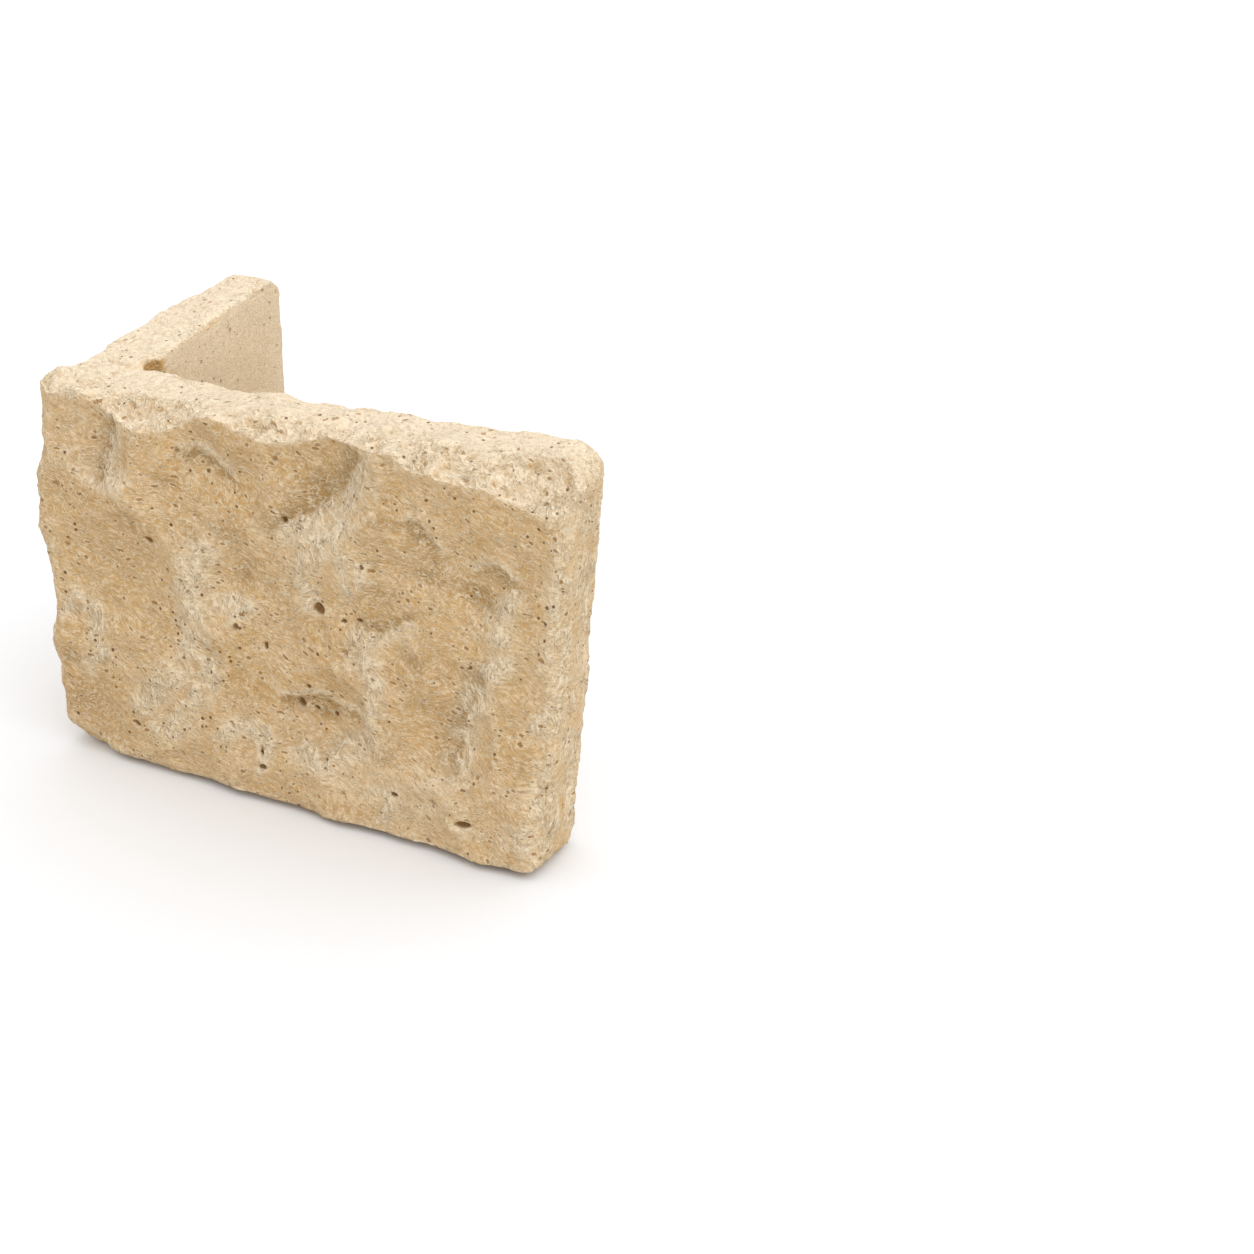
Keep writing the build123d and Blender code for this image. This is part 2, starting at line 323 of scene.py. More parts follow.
stone_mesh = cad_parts["stone_corner"].data.copy()
welded = bmesh.new()
welded.from_mesh(stone_mesh)
bmesh.ops.remove_doubles(welded, verts=welded.verts, dist=0.01 * MM)
welded.to_mesh(stone_mesh)
welded.free()
stone = bpy.data.objects.new("split_stone_corner", stone_mesh)
bpy.context.collection.objects.link(stone)
even = stone.modifiers.new("even mesh", "REMESH")
even.mode = "VOXEL"
even.voxel_size = VOXEL
stone.data = plain_mesh(stone, "even stone")
stone.modifiers.remove(even)
hand_relief(stone.data)

# Split limestone: a warm buff stone full of fine shell grit. The flake scoops are smooth and golden, the crumbled
# ridges and the broken top are pale and rough, the top paler still by painted light, pores are painted dark as the
# shade in them, and fine streaks follow the level bedding.
limestone = bpy.data.materials.new("split limestone")
limestone.use_nodes = True
shade = limestone.node_tree
shade.nodes.clear()
spot = add(shade, "ShaderNodeTexCoord", {}).outputs["Object"]
relief = add(shade, "ShaderNodeAttribute", {}, attribute_name="relief").outputs["Fac"]
crumble = add(shade, "ShaderNodeAttribute", {}, attribute_name="crumbled").outputs["Fac"]
pale_here = add(shade, "ShaderNodeAttribute", {}, attribute_name="pale").outputs["Fac"]
dust_and_shade = add(shade, "ShaderNodeAttribute", {}, attribute_name="dust_and_shade").outputs["Fac"]
pit = add(shade, "ShaderNodeAttribute", {}, attribute_name="pit").outputs["Fac"]
groove_shade_here = add(shade, "ShaderNodeAttribute", {}, attribute_name="golden").outputs["Fac"]
foot = add(shade, "ShaderNodeAttribute", {}, attribute_name="foot").outputs["Fac"]

# Sawn faces: told by the plane they lie in and the way they look, so that they end cleanly at their arrises.
facing = add(shade, "ShaderNodeNewGeometry", {}).outputs["True Normal"]
turned = add(shade, "ShaderNodeSeparateXYZ", {0: facing}).outputs
where = add(shade, "ShaderNodeSeparateXYZ", {0: spot}).outputs
on_top = add(shade, "ShaderNodeMapRange", {"Value": turned["Z"], 1: 0.15, 2: 0.9}).outputs[0]
by_leg_back = add(shade, "ShaderNodeMath", {0: where["Y"], 1: BACK * MM, 2: 0.5 * MM}, operation="COMPARE").outputs[0]
leg_sawn = add(
    shade, "ShaderNodeMapRange", {"Value": turned["Y"], 1: 0.85, 2: 0.97, 3: 0.0, 4: by_leg_back},
).outputs[0]
by_return_back = add(
    shade, "ShaderNodeMath", {0: where["X"], 1: BACK * MM, 2: 0.5 * MM}, operation="COMPARE",
).outputs[0]
return_sawn = add(
    shade, "ShaderNodeMapRange", {"Value": turned["X"], 1: 0.85, 2: 0.97, 3: 0.0, 4: by_return_back},
).outputs[0]
by_bed = add(shade, "ShaderNodeMath", {0: where["Z"], 1: 0.0, 2: 0.5 * MM}, operation="COMPARE").outputs[0]
bed_sawn = add(shade, "ShaderNodeMapRange", {"Value": turned["Z"], 1: -0.85, 2: -0.97, 3: 0.0, 4: by_bed}).outputs[0]
backs_sawn = add(shade, "ShaderNodeMath", {0: leg_sawn, 1: return_sawn}, operation="MAXIMUM").outputs[0]
sawn = add(shade, "ShaderNodeMath", {0: backs_sawn, 1: bed_sawn}, operation="MAXIMUM").outputs[0]
sawn_clean = add(shade, "ShaderNodeMath", {0: sawn, 1: 0.95}, operation="GREATER_THAN").outputs[0]

# Clouds and patches: the slow changes of tone in the stone.
clouds = add(
    shade, "ShaderNodeTexNoise", {"Vector": spot, "Scale": 1 / (38 * MM), "Detail": 3.0, "Roughness": 0.6},
).outputs[0]
patches = add(
    shade, "ShaderNodeTexNoise",
    {"Vector": spot, "Scale": 1 / (12 * MM), "Detail": 5.0, "Roughness": 0.65, "Distortion": 0.8},
).outputs[0]

# Dashes: short dark strokes along the bedding, level on the rock faces and upright on the sawn ones. The real ones are
# about 0.3 mm wide; they are drawn at about 0.5 mm to show in the picture.
swirl = add(shade, "ShaderNodeTexNoise", {"Vector": spot, "Scale": 1 / (20 * MM), "Detail": 1.5}).outputs["Color"]
swirl_even = add(shade, "ShaderNodeVectorMath", {0: swirl, 1: (0.5, 0.5, 0.5)}, operation="SUBTRACT").outputs[0]
swirl_step = add(shade, "ShaderNodeVectorMath", {0: swirl_even, "Scale": 14 * MM}, operation="SCALE").outputs[0]
swirled = add(shade, "ShaderNodeVectorMath", {0: spot, 1: swirl_step}, operation="ADD").outputs[0]
tilted = add(shade, "ShaderNodeMapping", {"Vector": swirled, "Rotation": (0, math.radians(-14), 0)}).outputs[0]
dash_stretch = add(
    shade, "ShaderNodeMix", {"Factor": sawn_clean, 4: (1 / 2.6, 1 / 2.6, 1.0), 5: (1.0, 1.0, 1 / 5)},
    data_type="VECTOR",
).outputs[1]
bedding = add(shade, "ShaderNodeMapping", {"Vector": tilted, "Scale": dash_stretch}).outputs[0]
strokes = add(
    shade, "ShaderNodeTexNoise",
    {"Vector": bedding, "Scale": 1 / (0.85 * MM), "Detail": 2.0, "Roughness": 0.55, "Distortion": 0.2},
).outputs[0]
dash = add(shade, "ShaderNodeMapRange", {"Value": strokes, 1: 0.53, 2: 0.68}).outputs[0]
grit = add(
    shade, "ShaderNodeTexNoise", {"Vector": spot, "Scale": 1 / (0.9 * MM), "Detail": 3.0, "Roughness": 0.7},
).outputs[0]

# Wrinkles: fine worm-like folds of the broken surface all over the rock. Their crests are later painted pale as a
# painted highlight and the gaps between them darker as painted shade.
folded = add(shade, "ShaderNodeMapping", {"Vector": tilted, "Scale": (1 / 1.7, 1 / 1.7, 1.0)}).outputs[0]
folds = add(
    shade, "ShaderNodeTexNoise",
    {"Vector": folded, "Scale": 1 / (1.35 * MM), "Detail": 1.5, "Roughness": 0.5, "Distortion": 1.0},
).outputs[0]
off_fold = add(shade, "ShaderNodeMath", {0: folds, 1: 0.5}, operation="SUBTRACT").outputs[0]
fold_gap = add(shade, "ShaderNodeMath", {0: off_fold}, operation="ABSOLUTE").outputs[0]
wrinkle = add(
    shade, "ShaderNodeMapRange", {"Value": fold_gap, 1: 0.1, 2: 0.0}, interpolation_type="SMOOTHSTEP",
).outputs[0]
between = add(shade, "ShaderNodeMapRange", {"Value": fold_gap, 1: 0.07, 2: 0.2}).outputs[0]

# Strands: pale raised threads that stand up the crumbled ridges and ledges; their paleness is partly painted
# highlight, and the gaps between them are painted darker as shade.
upright = add(
    shade, "ShaderNodeMapping",
    {"Vector": swirled, "Rotation": (0, math.radians(-28), 0), "Scale": (1.0, 1.0, 1 / 2.8)},
).outputs[0]
threads = add(
    shade, "ShaderNodeTexNoise",
    {"Vector": upright, "Scale": 1 / (2.4 * MM), "Detail": 1.5, "Roughness": 0.5, "Distortion": 0.8},
).outputs[0]
off_thread = add(shade, "ShaderNodeMath", {0: threads, 1: 0.5}, operation="SUBTRACT").outputs[0]
thread_gap = add(shade, "ShaderNodeMath", {0: off_thread}, operation="ABSOLUTE").outputs[0]
thread = add(
    shade, "ShaderNodeMapRange", {"Value": thread_gap, 1: 0.13, 2: 0.0}, interpolation_type="SMOOTHSTEP",
).outputs[0]
crumb_pale = add(shade, "ShaderNodeMath", {0: crumble, 1: pale_here}, operation="MAXIMUM").outputs[0]
rough_here = add(shade, "ShaderNodeMapRange", {"Value": crumb_pale, 1: 0.2, 2: 0.8}).outputs[0]
strand = add(shade, "ShaderNodeMath", {0: thread, 1: rough_here}, operation="MULTIPLY").outputs[0]
strand_gap_shade = add(shade, "ShaderNodeMath", {0: rough_here, 1: strand}, operation="SUBTRACT").outputs[0]

# Flecks and pores: ragged golden grit under a millimetre across with a rim painted pale as a highlight, and the
# fewer holes where it fell out, painted brown as the shade in them.
fleck_spot = add(shade, "ShaderNodeMapping", {"Vector": tilted, "Scale": (1 / 1.9, 1 / 1.9, 1.0)}).outputs[0]
flecks = add(shade, "ShaderNodeTexVoronoi", {"Vector": fleck_spot, "Scale": 1 / (2.3 * MM), "Randomness": 1.0})
fleck_edge = add(
    shade, "ShaderNodeMapRange", {"Value": flecks.outputs["Color"], 1: 0.3, 2: 0.8, 3: 0.0, 4: 0.26},
).outputs[0]
fleck_even = add(
    shade, "ShaderNodeMath", {0: fleck_edge, 1: flecks.outputs["Distance"]}, operation="SUBTRACT",
).outputs[0]
fleck_gap = add(shade, "ShaderNodeMath", {0: grit, 1: 0.5, 2: fleck_even}, operation="MULTIPLY_ADD").outputs[0]
fleck = add(shade, "ShaderNodeMapRange", {"Value": fleck_gap, 1: 0.2, 2: 0.32}).outputs[0]
fleck_near = add(shade, "ShaderNodeMapRange", {"Value": fleck_gap, 1: 0.05, 2: 0.18}).outputs[0]
fleck_rim_highlight = add(shade, "ShaderNodeMath", {0: fleck_near, 1: fleck}, operation="SUBTRACT").outputs[0]
pores = add(shade, "ShaderNodeTexVoronoi", {"Vector": spot, "Scale": 1 / (3.6 * MM), "Randomness": 1.0})
pore_edge = add(
    shade, "ShaderNodeMapRange", {"Value": pores.outputs["Color"], 1: 0.35, 2: 1.0, 3: 0.04, 4: 0.22},
).outputs[0]
pore_gap = add(shade, "ShaderNodeMath", {0: pore_edge, 1: pores.outputs["Distance"]}, operation="SUBTRACT").outputs[0]
pore = add(shade, "ShaderNodeMapRange", {"Value": pore_gap, 1: -0.01, 2: 0.04}).outputs[0]

# Colour, from the buff ground up: golden and greyer patches, pale ridges with painted highlight where the surface
# stands proud, a top painted paler partly as painted light, clean sawn faces, a groove painted darker as shade,
# hollows and creases darkened with dust and painted shade, painted shade in recesses, then the wrinkles and
# strands with painted highlights and shade, dashes, flecks with rims painted pale as highlights, pits and pores
# painted dark as the shade in them, and painted contact shade along the foot.
buff = add(shade, "ShaderNodeMapRange", {"Value": clouds, 1: 0.35, 2: 0.65}).outputs[0]
ground = add(
    shade, "ShaderNodeMix", {"Factor": buff, 6: linear("#e1b981"), 7: linear("#eac898")}, data_type="RGBA",
).outputs[2]
gold_part = add(shade, "ShaderNodeMapRange", {"Value": patches, 1: 0.5, 2: 0.7, 3: 0.0, 4: 0.65}).outputs[0]
golden = add(
    shade, "ShaderNodeMix", {"Factor": gold_part, 6: ground, 7: linear("#dcb278")}, data_type="RGBA",
).outputs[2]
grey_part = add(shade, "ShaderNodeMapRange", {"Value": patches, 1: 0.46, 2: 0.3, 3: 0.0, 4: 0.6}).outputs[0]
greyed = add(
    shade, "ShaderNodeMix", {"Factor": grey_part, 6: golden, 7: linear("#d0b590")}, data_type="RGBA",
).outputs[2]
# Paler where the surface stands proud of its surroundings: painted highlight; paler where the stone is crumbled
proud_highlight = add(shade, "ShaderNodeMapRange", {"Value": relief, 1: 0.03 * MM, 2: 0.35 * MM, 3: 0.0, 4: 0.25}).outputs[0]
crumb_and_highlight = add(shade, "ShaderNodeMath", {0: crumble, 1: 0.25, 2: proud_highlight}, operation="MULTIPLY_ADD").outputs[0]
pale_part = add(
    shade, "ShaderNodeMath", {0: pale_here, 1: 0.95, 2: crumb_and_highlight}, operation="MULTIPLY_ADD", use_clamp=True,
).outputs[0]
pale_and_highlight = add(
    shade, "ShaderNodeMix", {"Factor": pale_part, 6: greyed, 7: linear("#ffe9c6")}, data_type="RGBA",
).outputs[2]
# Upward faces painted paler, partly as painted light from above
top_part = add(shade, "ShaderNodeMath", {0: on_top, 1: 0.85}, operation="MULTIPLY").outputs[0]
top_pale_and_lit = add(
    shade, "ShaderNodeMix", {"Factor": top_part, 6: pale_and_highlight, 7: linear("#f8e9d2")}, data_type="RGBA",
).outputs[2]
sawn_part = add(shade, "ShaderNodeMath", {0: sawn, 1: 0.9}, operation="MULTIPLY").outputs[0]
cleaned = add(
    shade, "ShaderNodeMix", {"Factor": sawn_part, 6: top_pale_and_lit, 7: linear("#ecd8bb")}, data_type="RGBA",
).outputs[2]
arris_in = add(shade, "ShaderNodeMapRange", {"Value": sawn, 1: 0.0, 2: 0.4, 3: 0.0, 4: 0.4}).outputs[0]
arris_part = add(shade, "ShaderNodeMapRange", {"Value": sawn, 1: 0.5, 2: 0.95, 3: arris_in, 4: 0.0}).outputs[0]
edge_worn = add(
    shade, "ShaderNodeMix", {"Factor": arris_part, 6: cleaned, 7: linear("#d8b580")}, data_type="RGBA",
).outputs[2]
# The groove in the inside corner painted darker golden: painted shade
groove_shade_painted = add(
    shade, "ShaderNodeMix", {"Factor": groove_shade_here, 6: edge_worn, 7: linear("#c79f62")}, data_type="RGBA",
).outputs[2]
# Hollows and ledge creases darkened with dust and painted shade
dust_shade_patch = add(shade, "ShaderNodeMapRange", {"Value": patches, 1: 0.3, 2: 0.6, 3: 0.65, 4: 1.0}).outputs[0]
dust_shade_part = add(shade, "ShaderNodeMath", {0: dust_and_shade, 1: dust_shade_patch}, operation="MULTIPLY").outputs[0]
hollows_dust_shaded = add(
    shade, "ShaderNodeMix", {"Factor": dust_shade_part, 6: groove_shade_painted, 7: linear("#8f7042")}, data_type="RGBA",
).outputs[2]
# Darker where the surface lies below its surroundings: painted shade in recesses
recess_shade_part = add(
    shade, "ShaderNodeMapRange", {"Value": relief, 1: -0.05 * MM, 2: -0.6 * MM, 3: 0.0, 4: 0.7},
).outputs[0]
recess_shade_painted = add(
    shade, "ShaderNodeMix", {"Factor": recess_shade_part, 6: hollows_dust_shaded, 7: linear("#a9834d")}, data_type="RGBA",
).outputs[2]

sawn_calm = add(shade, "ShaderNodeMapRange", {"Value": sawn_clean, 3: 1.0, 4: 0.5}).outputs[0]
top_calm = add(shade, "ShaderNodeMapRange", {"Value": on_top, 3: 1.0, 4: 0.9}).outputs[0]
calm = add(shade, "ShaderNodeMath", {0: sawn_calm, 1: top_calm}, operation="MULTIPLY").outputs[0]
# The gaps between the folds painted darker as painted shade, their crests paler as painted highlight
between_most = add(shade, "ShaderNodeMath", {0: between, 1: 0.32}, operation="MULTIPLY").outputs[0]
between_part = add(shade, "ShaderNodeMath", {0: between_most, 1: calm}, operation="MULTIPLY").outputs[0]
fold_gaps_shade_painted = add(
    shade, "ShaderNodeMix", {"Factor": between_part, 6: recess_shade_painted, 7: linear("#b98c4a")}, data_type="RGBA",
).outputs[2]
wrinkle_most = add(shade, "ShaderNodeMath", {0: wrinkle, 1: 0.55}, operation="MULTIPLY").outputs[0]
wrinkle_part = add(shade, "ShaderNodeMath", {0: wrinkle_most, 1: calm}, operation="MULTIPLY").outputs[0]
fold_crests_highlight_painted = add(
    shade, "ShaderNodeMix", {"Factor": wrinkle_part, 6: fold_gaps_shade_painted, 7: linear("#f8e4c2")}, data_type="RGBA",
).outputs[2]
dash_most = add(shade, "ShaderNodeMath", {0: dash, 1: 0.35}, operation="MULTIPLY").outputs[0]
dash_part = add(shade, "ShaderNodeMath", {0: dash_most, 1: calm}, operation="MULTIPLY").outputs[0]
dashed = add(
    shade, "ShaderNodeMix", {"Factor": dash_part, 6: fold_crests_highlight_painted, 7: linear("#a9772f")}, data_type="RGBA",
).outputs[2]
# Darker gaps between the strands: painted shade; the strands painted pale: painted highlight
gap_part = add(shade, "ShaderNodeMath", {0: strand_gap_shade, 1: 0.3}, operation="MULTIPLY").outputs[0]
strand_gaps_shade_painted = add(
    shade, "ShaderNodeMix", {"Factor": gap_part, 6: dashed, 7: linear("#cca468")}, data_type="RGBA",
).outputs[2]
strand_part = add(shade, "ShaderNodeMath", {0: strand, 1: 0.85}, operation="MULTIPLY").outputs[0]
strands_highlight_painted = add(
    shade, "ShaderNodeMix", {"Factor": strand_part, 6: strand_gaps_shade_painted, 7: linear("#ffebcb")}, data_type="RGBA",
).outputs[2]
fleck_most = add(shade, "ShaderNodeMath", {0: fleck, 1: 0.75}, operation="MULTIPLY").outputs[0]
fleck_part = add(shade, "ShaderNodeMath", {0: fleck_most, 1: calm}, operation="MULTIPLY").outputs[0]
# Pale rims around the flecks: painted highlight
rim_most = add(shade, "ShaderNodeMath", {0: fleck_rim_highlight, 1: 0.4}, operation="MULTIPLY").outputs[0]
rim_part = add(shade, "ShaderNodeMath", {0: rim_most, 1: calm}, operation="MULTIPLY").outputs[0]
fleck_rims_highlight_painted = add(
    shade, "ShaderNodeMix", {"Factor": rim_part, 6: strands_highlight_painted, 7: linear("#fbeed2")}, data_type="RGBA",
).outputs[2]
flecked = add(
    shade, "ShaderNodeMix", {"Factor": fleck_part, 6: fleck_rims_highlight_painted, 7: linear("#9e6d2c")}, data_type="RGBA",
).outputs[2]
# Darker inside the pits and pores: painted shade in the holes
pit_part = add(shade, "ShaderNodeMapRange", {"Value": pit, 1: 0.3, 2: 0.7, 3: 0.0, 4: 0.85}).outputs[0]
pits_shade_painted = add(
    shade, "ShaderNodeMix", {"Factor": pit_part, 6: flecked, 7: linear("#8a632e")}, data_type="RGBA",
).outputs[2]
pore_calm = add(shade, "ShaderNodeMapRange", {"Value": calm, 3: 0.2, 4: 0.85}).outputs[0]
pore_part = add(shade, "ShaderNodeMath", {0: pore, 1: pore_calm}, operation="MULTIPLY").outputs[0]
pores_shade_painted = add(
    shade, "ShaderNodeMix", {"Factor": pore_part, 6: pits_shade_painted, 7: linear("#724a1a")}, data_type="RGBA",
).outputs[2]
# The foot painted dark brown: painted contact shade where the stone meets the floor
foot_part = add(shade, "ShaderNodeMath", {0: foot, 1: 0.75}, operation="MULTIPLY").outputs[0]
foot_shade_painted = add(
    shade, "ShaderNodeMix", {"Factor": foot_part, 6: pores_shade_painted, 7: linear("#8a6d42")}, data_type="RGBA",
).outputs[2]

# Relief too fine for the mesh, in metres: wrinkles, strands and grit stand up; dashes, flecks and pores are sunk.
wrinkle_rise = add(shade, "ShaderNodeMath", {0: wrinkle, 1: 0.22 * MM}, operation="MULTIPLY").outputs[0]
wrinkle_calm = add(shade, "ShaderNodeMath", {0: wrinkle_rise, 1: calm}, operation="MULTIPLY").outputs[0]
strand_rise = add(
    shade, "ShaderNodeMath", {0: strand, 1: 0.5 * MM, 2: wrinkle_calm}, operation="MULTIPLY_ADD",
).outputs[0]
dash_drop = add(
    shade, "ShaderNodeMath", {0: dash_part, 1: -0.3 * MM, 2: strand_rise}, operation="MULTIPLY_ADD",
).outputs[0]
grit_rise = add(shade, "ShaderNodeMath", {0: grit, 1: 0.6 * MM, 2: dash_drop}, operation="MULTIPLY_ADD").outputs[0]
fleck_drop = add(
    shade, "ShaderNodeMath", {0: fleck_part, 1: -0.2 * MM, 2: grit_rise}, operation="MULTIPLY_ADD",
).outputs[0]
surface = add(shade, "ShaderNodeMath", {0: pore, 1: -0.25 * MM, 2: fleck_drop}, operation="MULTIPLY_ADD").outputs[0]
bump = add(shade, "ShaderNodeBump", {"Height": surface, "Strength": 1.0, "Distance": 1.0}).outputs[0]
stone_shader = add(
    shade, "ShaderNodeBsdfPrincipled",
    {"Base Color": foot_shade_painted, "Roughness": 0.92, "IOR": 1.5, "Specular IOR Level": 0.25, "Normal": bump},
).outputs[0]
add(shade, "ShaderNodeOutputMaterial", {"Surface": stone_shader})

# The split faces' relief: swells and small flake scars, crumbled crests, bedding and pits, laid on every rock face
# and left off the sawn ones.
split = bpy.data.node_groups.new("split rock", "GeometryNodeTree")
split.interface.new_socket("Geometry", in_out="INPUT", socket_type="NodeSocketGeometry")
for name, size in (
    ("Swell Size", 30), ("Swell Height", 3.0), ("Scar Size", 20), ("Scar Height", 2.4), ("Crumb Size", 3.6),
    ("Crumb Height", 3.0), ("Lump Size", 11), ("Lump Height", 7.0), ("Streak Length", 8), ("Streak Height", 0.4),
    ("Pit Spacing", 13), ("Pit Depth", 0.9),
):
    split.interface.new_socket(name, in_out="INPUT", socket_type="NodeSocketFloat").default_value = size * MM
split.interface.new_socket("Softening Steps", in_out="INPUT", socket_type="NodeSocketInt").default_value = 4
split.interface.new_socket("Rounding Steps", in_out="INPUT", socket_type="NodeSocketInt").default_value = 40
stone_input = split.interface.new_socket("Stone", in_out="INPUT", socket_type="NodeSocketMaterial").identifier
split.interface.new_socket("Geometry", in_out="OUTPUT", socket_type="NodeSocketGeometry")
given = add(split, "NodeGroupInput", {}).outputs
place = add(split, "GeometryNodeInputPosition", {}).outputs[0]
normal = add(split, "GeometryNodeInputNormal", {}).outputs[0]
sawn_here = add(split, "GeometryNodeInputNamedAttribute", {"Name": "sawn"}, data_type="FLOAT").outputs[0]
crumbled_here = add(split, "GeometryNodeInputNamedAttribute", {"Name": "crumbled"}, data_type="FLOAT").outputs[0]
cut_here = add(split, "GeometryNodeInputNamedAttribute", {"Name": "cut"}, data_type="FLOAT").outputs[0]
broken_here = add(split, "GeometryNodeInputNamedAttribute", {"Name": "broken"}, data_type="FLOAT").outputs[0]
rock = add(split, "ShaderNodeMath", {0: 1.0, 1: sawn_here}, operation="SUBTRACT").outputs[0]
rock_near = add(split, "GeometryNodeBlurAttribute", {"Value": rock, "Iterations": 3}, data_type="FLOAT").outputs[0]
rock_only = add(split, "ShaderNodeMath", {0: rock_near, 1: rock}, operation="MULTIPLY").outputs[0]
softened = add(
    split, "GeometryNodeBlurAttribute",
    {"Value": place, "Iterations": given["Softening Steps"], "Weight": rock}, data_type="FLOAT_VECTOR",
).outputs[0]
soft = add(split, "GeometryNodeSetPosition", {"Geometry": given["Geometry"], "Position": softened}).outputs[0]
rim_here = add(split, "GeometryNodeInputNamedAttribute", {"Name": "rim"}, data_type="FLOAT").outputs[0]
rounded = add(
    split, "GeometryNodeBlurAttribute",
    {"Value": place, "Iterations": given["Rounding Steps"], "Weight": rim_here}, data_type="FLOAT_VECTOR",
).outputs[0]
worn = add(split, "GeometryNodeSetPosition", {"Geometry": soft, "Position": rounded}).outputs[0]

# Crests: what stands proud of its wide surroundings is crumbled as well, with gaps.
wide = add(
    split, "GeometryNodeBlurAttribute", {"Value": place, "Iterations": 70}, data_type="FLOAT_VECTOR",
).outputs[0]
off_wide = add(split, "ShaderNodeVectorMath", {0: place, 1: wide}, operation="SUBTRACT").outputs[0]
crest = add(split, "ShaderNodeVectorMath", {0: off_wide, 1: normal}, operation="DOT_PRODUCT").outputs["Value"]
crest_part = add(split, "ShaderNodeMapRange", {"Value": crest, 1: 0.1 * MM, 2: 0.55 * MM, 3: 0.0, 4: 0.65}).outputs[0]
broken_up = add(
    split, "ShaderNodeTexNoise", {"Vector": place, "Scale": 1 / (11 * MM), "Detail": 3.0, "Roughness": 0.6},
    noise_dimensions="3D",
).outputs[0]
crest_gaps = add(split, "ShaderNodeMapRange", {"Value": broken_up, 1: 0.4, 2: 0.6}).outputs[0]
crest_here = add(split, "ShaderNodeMath", {0: crest_part, 1: crest_gaps}, operation="MULTIPLY").outputs[0]
crumbled_all = add(split, "ShaderNodeMath", {0: crumbled_here, 1: crest_here}, operation="MAXIMUM").outputs[0]
crumbled_rock = add(split, "ShaderNodeMath", {0: crumbled_all, 1: rock}, operation="MULTIPLY").outputs[0]
marked = add(
    split, "GeometryNodeStoreNamedAttribute",
    {"Geometry": worn, "Name": "crumbled", "Value": crumbled_rock}, data_type="FLOAT", domain="POINT",
).outputs[0]

# Swells and small flake scars
swell_scale = add(split, "ShaderNodeMath", {0: 1.0, 1: given["Swell Size"]}, operation="DIVIDE").outputs[0]
swell = add(
    split, "ShaderNodeTexNoise",
    {"Vector": place, "Scale": swell_scale, "Detail": 3.0, "Roughness": 0.5, "Distortion": 0.4},
    noise_dimensions="3D",
).outputs[0]
swell_even = add(split, "ShaderNodeMath", {0: swell, 1: 0.5}, operation="SUBTRACT").outputs[0]
swell_rise = add(split, "ShaderNodeMath", {0: swell_even, 1: given["Swell Height"]}, operation="MULTIPLY").outputs[0]

drift = add(
    split, "ShaderNodeTexNoise", {"Vector": place, "Scale": 1 / (16 * MM), "Detail": 2.0}, noise_dimensions="3D",
).outputs["Color"]
drift_even = add(split, "ShaderNodeVectorMath", {0: drift, 1: (0.5, 0.5, 0.5)}, operation="SUBTRACT").outputs[0]
drift_here = add(split, "ShaderNodeVectorMath", {0: drift_even, "Scale": 26 * MM}, operation="SCALE").outputs[0]
scar_spot = add(split, "ShaderNodeVectorMath", {0: place, 1: drift_here}, operation="ADD").outputs[0]
scar_scale = add(split, "ShaderNodeMath", {0: 1.0, 1: given["Scar Size"]}, operation="DIVIDE").outputs[0]
scars = add(
    split, "ShaderNodeTexVoronoi", {"Vector": scar_spot, "Scale": scar_scale, "Randomness": 1.0},
).outputs["Distance"]
scar_bowl = add(split, "ShaderNodeMath", {0: scars, 1: scars}, operation="MULTIPLY").outputs[0]
scar_even = add(split, "ShaderNodeMath", {0: scar_bowl, 1: 0.25}, operation="SUBTRACT").outputs[0]
scar_rise = add(
    split, "ShaderNodeMath", {0: scar_even, 1: given["Scar Height"], 2: swell_rise}, operation="MULTIPLY_ADD",
).outputs[0]

# Crumbs on the ridges, and lumps along the broken top
crumb_scale = add(split, "ShaderNodeMath", {0: 1.0, 1: given["Crumb Size"]}, operation="DIVIDE").outputs[0]
crumbs = add(
    split, "ShaderNodeTexNoise",
    {"Vector": place, "Scale": crumb_scale, "Detail": 4.0, "Roughness": 0.65, "Distortion": 0.8},
    noise_dimensions="3D",
).outputs[0]
crumb_even = add(split, "ShaderNodeMath", {0: crumbs, 1: 0.48}, operation="SUBTRACT").outputs[0]
crumb_part = add(split, "ShaderNodeMath", {0: crumbled_here, 1: 0.1}, operation="ADD").outputs[0]
crumb_here = add(split, "ShaderNodeMath", {0: crumb_even, 1: crumb_part}, operation="MULTIPLY").outputs[0]
crumb_rise = add(
    split, "ShaderNodeMath", {0: crumb_here, 1: given["Crumb Height"], 2: scar_rise}, operation="MULTIPLY_ADD",
).outputs[0]

lump_scale = add(split, "ShaderNodeMath", {0: 1.0, 1: given["Lump Size"]}, operation="DIVIDE").outputs[0]
lumps = add(
    split, "ShaderNodeTexNoise",
    {"Vector": place, "Scale": lump_scale, "Detail": 3.0, "Roughness": 0.55, "Distortion": 0.6},
    noise_dimensions="3D",
).outputs[0]
lump_even = add(split, "ShaderNodeMath", {0: lumps, 1: 0.55}, operation="SUBTRACT").outputs[0]
lump_here = add(split, "ShaderNodeMath", {0: lump_even, 1: broken_here}, operation="MULTIPLY").outputs[0]
lump_rise = add(
    split, "ShaderNodeMath", {0: lump_here, 1: given["Lump Height"], 2: crumb_rise}, operation="MULTIPLY_ADD",
).outputs[0]

